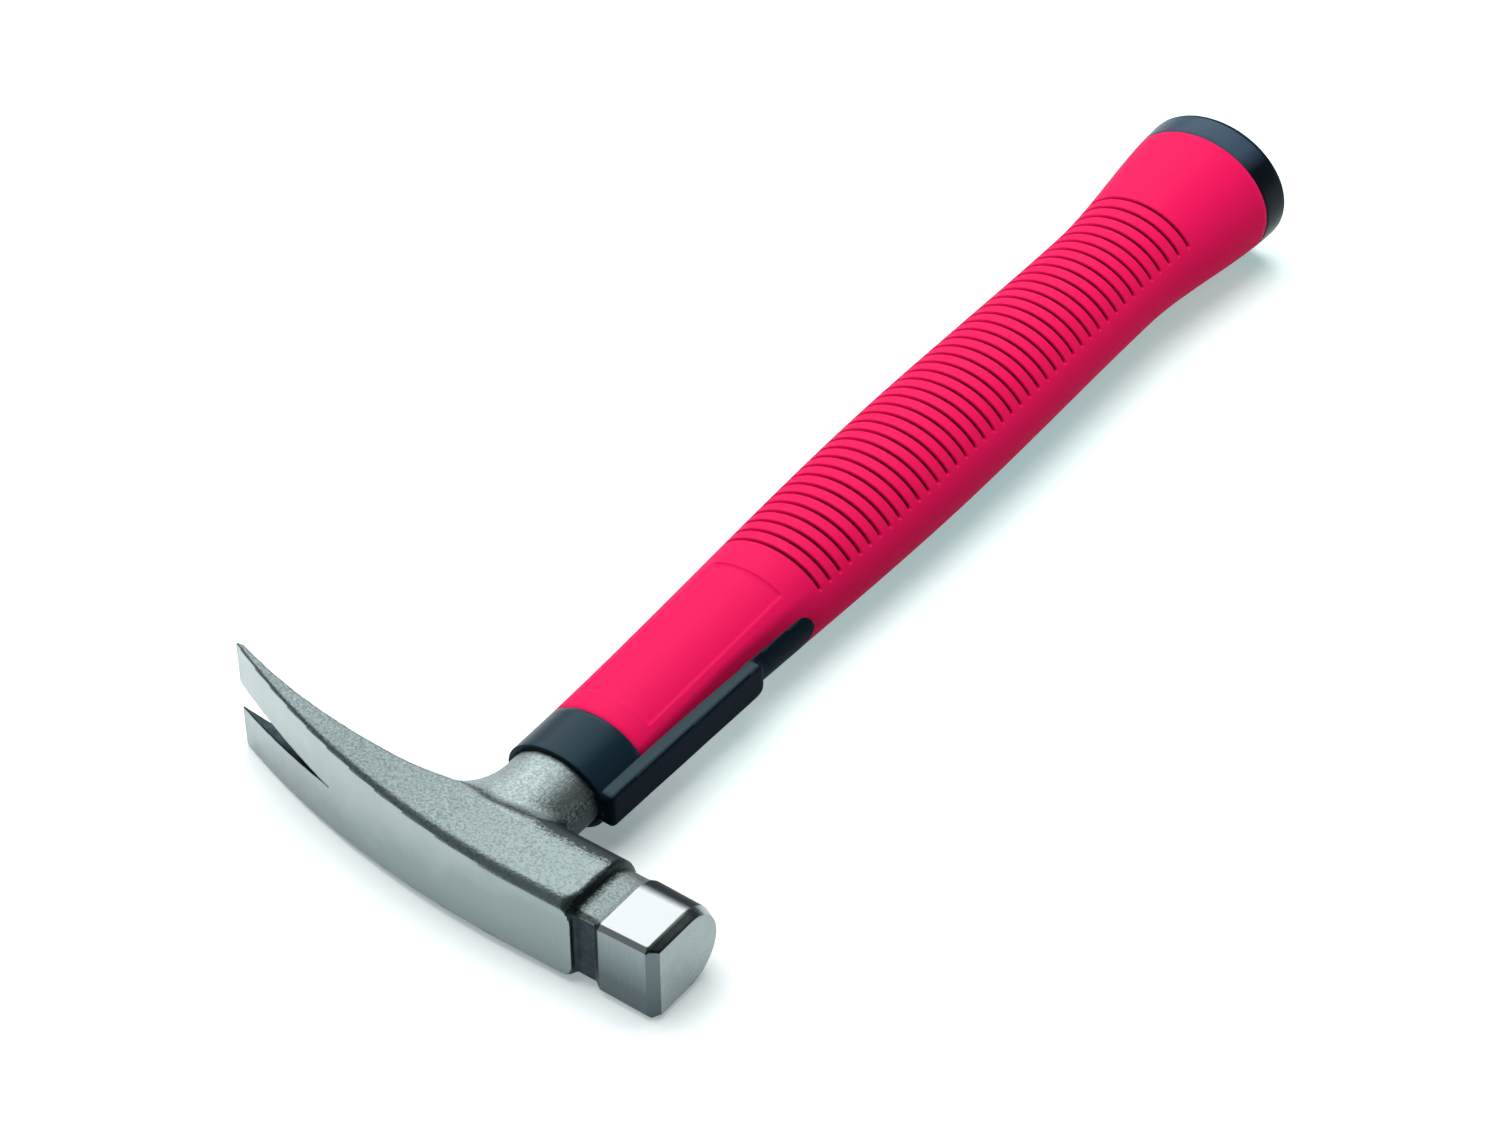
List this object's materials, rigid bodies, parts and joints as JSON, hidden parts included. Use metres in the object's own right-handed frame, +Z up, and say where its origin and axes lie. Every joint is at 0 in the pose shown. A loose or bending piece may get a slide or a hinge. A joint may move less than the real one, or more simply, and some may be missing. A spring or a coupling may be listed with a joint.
{
  "type": "electrician hammer",
  "caption": "Slim claw hammer for electricians: forged head with straight split claw and square face on a flared oval grip with grooves, collar, overstrike guard and butt cap.",
  "frame": {"origin": "on the surface that the hammer lies on, under the middle of its outline seen from above", "axes": "+X from the claw to the striking face, +Y along the handle from the head to the butt, +Z up through the thickness"},
  "size_m": [0.1244, 0.2982, 0.0346],
  "materials": {
    "forged_steel": "blasted cheeks, ground crown, polished striking block",
    "glass_fibre": "pultruded glass fibre",
    "resin": "cured resin",
    "black_plastic": "satin moulded hard plastic",
    "red_grip": "matte soft-touch plastic"
  },
  "bodies": {
    "root": {"hammer_head": "forged_steel", "handle_core": "glass_fibre", "bonding_resin": "resin", "handle_jacket": "black_plastic", "overstrike_guard": "black_plastic", "grip_sleeve": "red_grip", "butt_cap": "black_plastic"}
  },
  "joints": []
}
